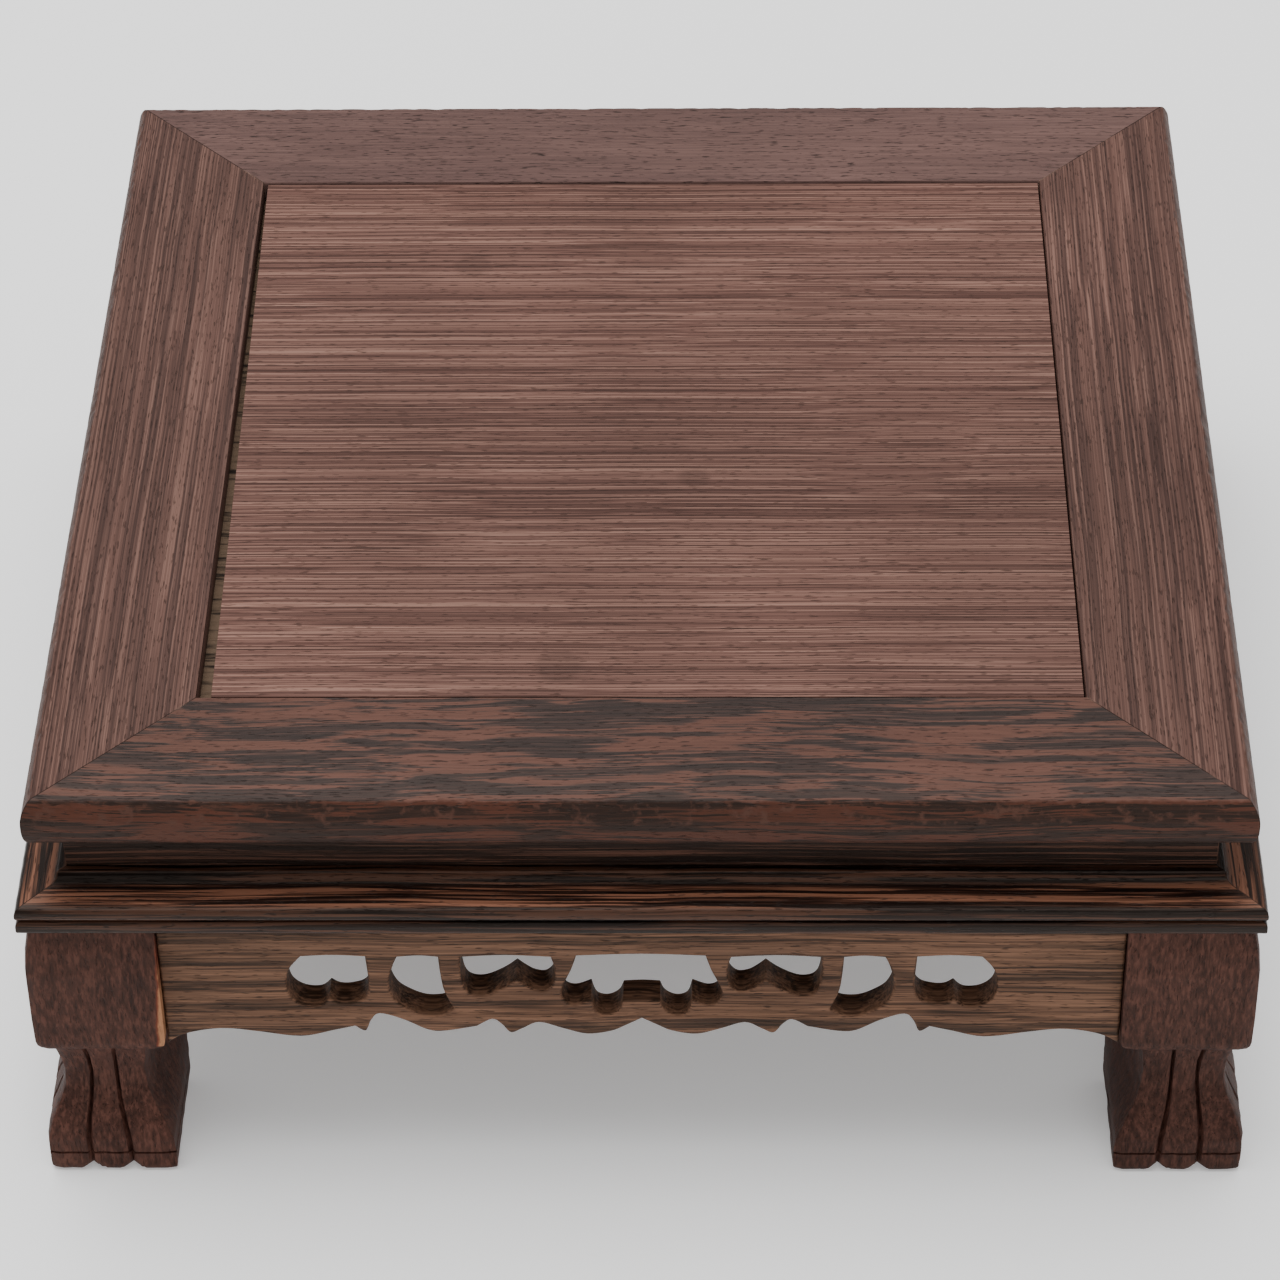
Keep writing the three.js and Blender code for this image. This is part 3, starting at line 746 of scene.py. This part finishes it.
def apron_board(name, turns, material):
    """The board is filled between its outline and its openings, with eased edges."""
    curve = bpy.data.curves.new(name, "CURVE")
    curve.dimensions = "2D"
    curve.fill_mode = "BOTH"
    curve.extrude = (APRON_THICKNESS / 2 - EASED_EDGE) * MM
    curve.bevel_depth = EASED_EDGE * MM
    curve.bevel_resolution = 2
    curve.offset = -EASED_EDGE * MM
    for ring in apron_outlines():
        spline = curve.splines.new("POLY")
        spline.points.add(len(ring) - 1)
        for point, (x, z) in zip(spline.points, ring):
            point.co = (x * MM, z * MM, 0, 1)
        spline.use_cyclic_u = True
    drawn = bpy.data.objects.new(name + "_outline", curve)
    bpy.context.collection.objects.link(drawn)
    graph = bpy.context.evaluated_depsgraph_get()
    mesh = bpy.data.meshes.new_from_object(drawn.evaluated_get(graph))
    bpy.data.objects.remove(drawn)
    mesh.transform(Matrix.Rotation(math.pi / 2, 4, "X"))
    mesh.transform(Matrix.Translation((0, (APRON_THICKNESS / 2 - APRON_FACE) * MM, 0)))
    return finished(name, mesh, turns, material, sharp_angle=40, weld=WELD)


for turns, (side, axis) in enumerate(zip(SIDES, AXES)):
    board = apron_board(f"pierced_apron_{side}", turns, apron_wood[axis])
    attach(board, "root")
    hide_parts(f"apron_{side}")


# Each leg is carved from one block with its grain upright, and held by a tenon out of sight.
# Below the square shoulder it curves in and out again to three toes on both outer faces, cut
# with a gouge and left rough.
LEG_TOP = APRON_TOP
LEG_INNER = 78.1
# A level holds its height, the reach of its outer faces, the inner end of each face, the back
# corner, and the depth of the two grooves, all in millimetres.
LEG_LEVELS = [
    (0, 99.1, 79.2, 79, 0.9), (0.35, 99.5, 78.7, 78.6, 0.9), (1.0, 99.85, 78.4, 78.3, 0.9),
    (2.2, 99.9, 78.3, 78.1, 0.9), (4.2, 99.9, 78.3, 78, 0.9), (4.3, 99.5, 78.6, 78, 0.9),
    (4.45, 99.3, 78.8, 78, 0.9), (4.6, 99.5, 78.6, 78, 0.9), (4.7, 99.9, 78.3, 78, 0.95),
    (7.6, 99.85, 78.5, 78, 1.1), (10, 99.3, 79.4, 78, 1.1), (12.4, 98.3, 80.6, 78, 1.1),
    (14.8, 97.3, 81.7, 78, 1.1), (17.4, 96.5, 82.4, 77.9, 1.1), (20.4, 96.25, 82.6, 77.8, 1.1),
    (23.4, 96.55, 82.4, 77.7, 1.0), (26.2, 97.2, 82, 77.7, 0.7), (27.9, 97.9, 81.3, 77.8, 0.1),
    (28.3, 98.7, 80.0, 78, 0.0), (28.8, 99.25, 79.0, LEG_INNER, 0), (29.6, 99.6, 78.4, LEG_INNER, 0),
    (30.6, 99.75, 78.15, LEG_INNER, 0), (36, 99.85, LEG_INNER, LEG_INNER, 0),
    (46, 99.8, LEG_INNER, LEG_INNER, 0), (50.5, 99.4, LEG_INNER, LEG_INNER, 0),
    (LEG_TOP - 1.5, 98.75, LEG_INNER, LEG_INNER, 0), (LEG_TOP, 98.5, LEG_INNER, LEG_INNER, 0),
]
LEVEL_GAP = 0.6
GROOVE_PLACES = (0.325, 0.645)
GROOVE_HALF_WIDTH = 0.026
GROOVE_OFFSETS = (0, 0.013, 0.026, 0.04, 0.07, 0.11)
NOTCH_HEIGHT = 2.7
NOTCH_SPREAD = 0.11
NOTCH_DEPTH = 2.3
FACE_STEPS = 14
FACE_SHARES = sorted({i / FACE_STEPS for i in range(FACE_STEPS + 1)} | {
    round(place + way * offset, 4) for place in GROOVE_PLACES for offset in GROOVE_OFFSETS for way in (-1, 1)
})
INNER_STEPS = 14
INNER_BOW = 0.18
EASED_CORNER = 0.4
CORNER_HOLLOW = 0.3
LEG_MIDDLE = 89
SHOULDER_HEIGHT = 31
SHOULDER_FADE = 3
SHOULDER_MARKS = 0.03
FOOT_MARKS = 0.16
MARK_ACROSS = 0.55
MARK_UPRIGHT = 0.28
MARK_LEG_SHIFT = 31
MARK_ROUGHNESS = (0.9, 2.1, 3)
MARK_SPREAD = 0.25
RED_SAPWOOD = (0.11, 0.024, 0.012)
PALE_SAPWOOD = (0.3, 0.14, 0.07)
SAPWOOD_RAGGED = 1.2
SAPWOOD_FOOT = 29.5


def sapwood_group():
    """A sliver of pale sapwood on the front left leg's inner edge, wider towards its foot."""
    group, given, result = group_with("sapwood_sliver", {"Edge": LEG_INNER * MM}, ["Sliver", "Core"])
    parts = coordinates(group, given["Vector"])
    inside = calc(group, "SUBTRACT", calc(group, "ABSOLUTE", parts["X"]), given["Edge"])
    ragged = uneven(group, given["Vector"], scale=300.0, detail=3.0)
    shift = calc(group, "MULTIPLY_ADD", ragged["Fac"], SAPWOOD_RAGGED * MM, inside)
    width = spread(group, parts["Z"], low=30 * MM, high=50 * MM, first=2.1 * MM, last=0.6 * MM)
    over = calc(group, "SUBTRACT", width, shift)
    sliver = spread(group, over, low=-0.1 * MM, high=0.2 * MM)
    core = spread(group, over, low=0.2 * MM, high=0.6 * MM)
    above = calc(group, "GREATER_THAN", parts["Z"], SAPWOOD_FOOT * MM)
    left = calc(group, "LESS_THAN", parts["X"], 0.0)
    front = calc(group, "LESS_THAN", parts["Y"], 0.0)
    where = calc(group, "MULTIPLY", above, calc(group, "MULTIPLY", left, front))
    shown = calc(group, "MULTIPLY", sliver, where)
    return close_group(group, {"Sliver": shown, "Core": core}, result)


SAPWOOD = sapwood_group()


def sapwood_mark(tree, place, colour):
    sliver = use_group(tree, SAPWOOD, {"Vector": place})
    pale = blend_colour(tree, sliver["Core"], opaque(RED_SAPWOOD), opaque(PALE_SAPWOOD))
    return blend_colour(tree, sliver["Sliver"], colour, pale)


UPRIGHT = {"Along": 420.0, "Across": 1500.0, "Wander": 0.004, "Flame Along": 30.0, "Flame Across": 190.0,
           "Streak": 0.3}
leg_wood = striped_wood(
    "leg_wood", axis="z", seed=23, figure=UPRIGHT,
    lines=[(0.36, (0.0165, 0.006, 0.0044)), (0.5, (0.0456, 0.0176, 0.0127)),
           (0.64, (0.097, 0.0405, 0.0295))],
    flames=[(0.4, (0.0275, 0.0099, 0.0068)), (0.6, (0.061, 0.0241, 0.0169))], flame_share=0.42,
    pore_colour=(0.0125, 0.0046, 0.0031), pore_share=0.5, roughness=0.62, relief=0.12 * MM,
    marks=(sapwood_mark,))


def leg_levels():
    """The levels with more of them in between, so that tool marks have room."""
    levels = []
    for low, high in zip(LEG_LEVELS, LEG_LEVELS[1:]):
        parts = max(1, round((high[0] - low[0]) / LEVEL_GAP))
        for part in range(parts):
            t = part / parts
            levels.append(tuple(a + (b - a) * t for a, b in zip(low, high)))
    levels.append(LEG_LEVELS[-1])
    return levels


def face_hollow(share, height, groove):
    """How deep the grooves, and the notches between the toes, cut in at a share of the face."""
    if share in (0, 1):
        return CORNER_HOLLOW
    hollow = 0.0
    for place in GROOVE_PLACES:
        apart = abs(share - place)
        hollow = max(hollow, groove * (1 - apart / GROOVE_HALF_WIDTH))
        rise = 1 - height / NOTCH_HEIGHT
        if rise > 0:
            hollow = max(hollow, NOTCH_DEPTH * (rise - apart / NOTCH_SPREAD))
    return hollow


def leg_ring(height, reach, inner_edge, back, groove):
    """One level of the leg: half of it from the outer corner to the back, and its mirror image."""
    width = reach - EASED_CORNER - inner_edge
    half = []
    for share in FACE_SHARES:
        half.append((reach - EASED_CORNER - share * width, reach - face_hollow(share, height, groove)))
    for i in range(1, INNER_STEPS):
        share = i / INNER_STEPS
        bow = math.sin(math.pi * share) * (inner_edge - back) * INNER_BOW
        half.append((inner_edge + (back - inner_edge) * share + bow, reach + (back - reach) * share))
    return [*half, (back, back), *((out, along) for along, out in reversed(half))]


def carved_leg(name, turns):
    rings = []
    for level in leg_levels():
        height = level[0]
        roughness = min(1.0, max(0.0, (SHOULDER_HEIGHT - height) / SHOULDER_FADE))
        ring = []
        for x, y in leg_ring(*level):
            lift = height * MARK_UPRIGHT + turns * MARK_LEG_SHIFT
            place = Vector((x * MARK_ACROSS, y * MARK_ACROSS, lift))
            cuts = noise.fractal(place, *MARK_ROUGHNESS)
            depth = (SHOULDER_MARKS + FOOT_MARKS * roughness) * max(0.0, cuts + MARK_SPREAD)
            inward = Vector((LEG_MIDDLE - x, LEG_MIDDLE - y)).normalized()
            push = inward * depth if height > 0 else Vector((0, 0))
            ring.append((-(x + push.x), -(y + push.y), height))
        rings.append(ring)
    return lofted(name, rings, turns, leg_wood, sharp_angle=40)


for turns, corner in enumerate(CORNERS):
    leg = carved_leg(f"carved_leg_{corner}", turns)
    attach(leg, "root")
    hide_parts(f"leg_{corner}")
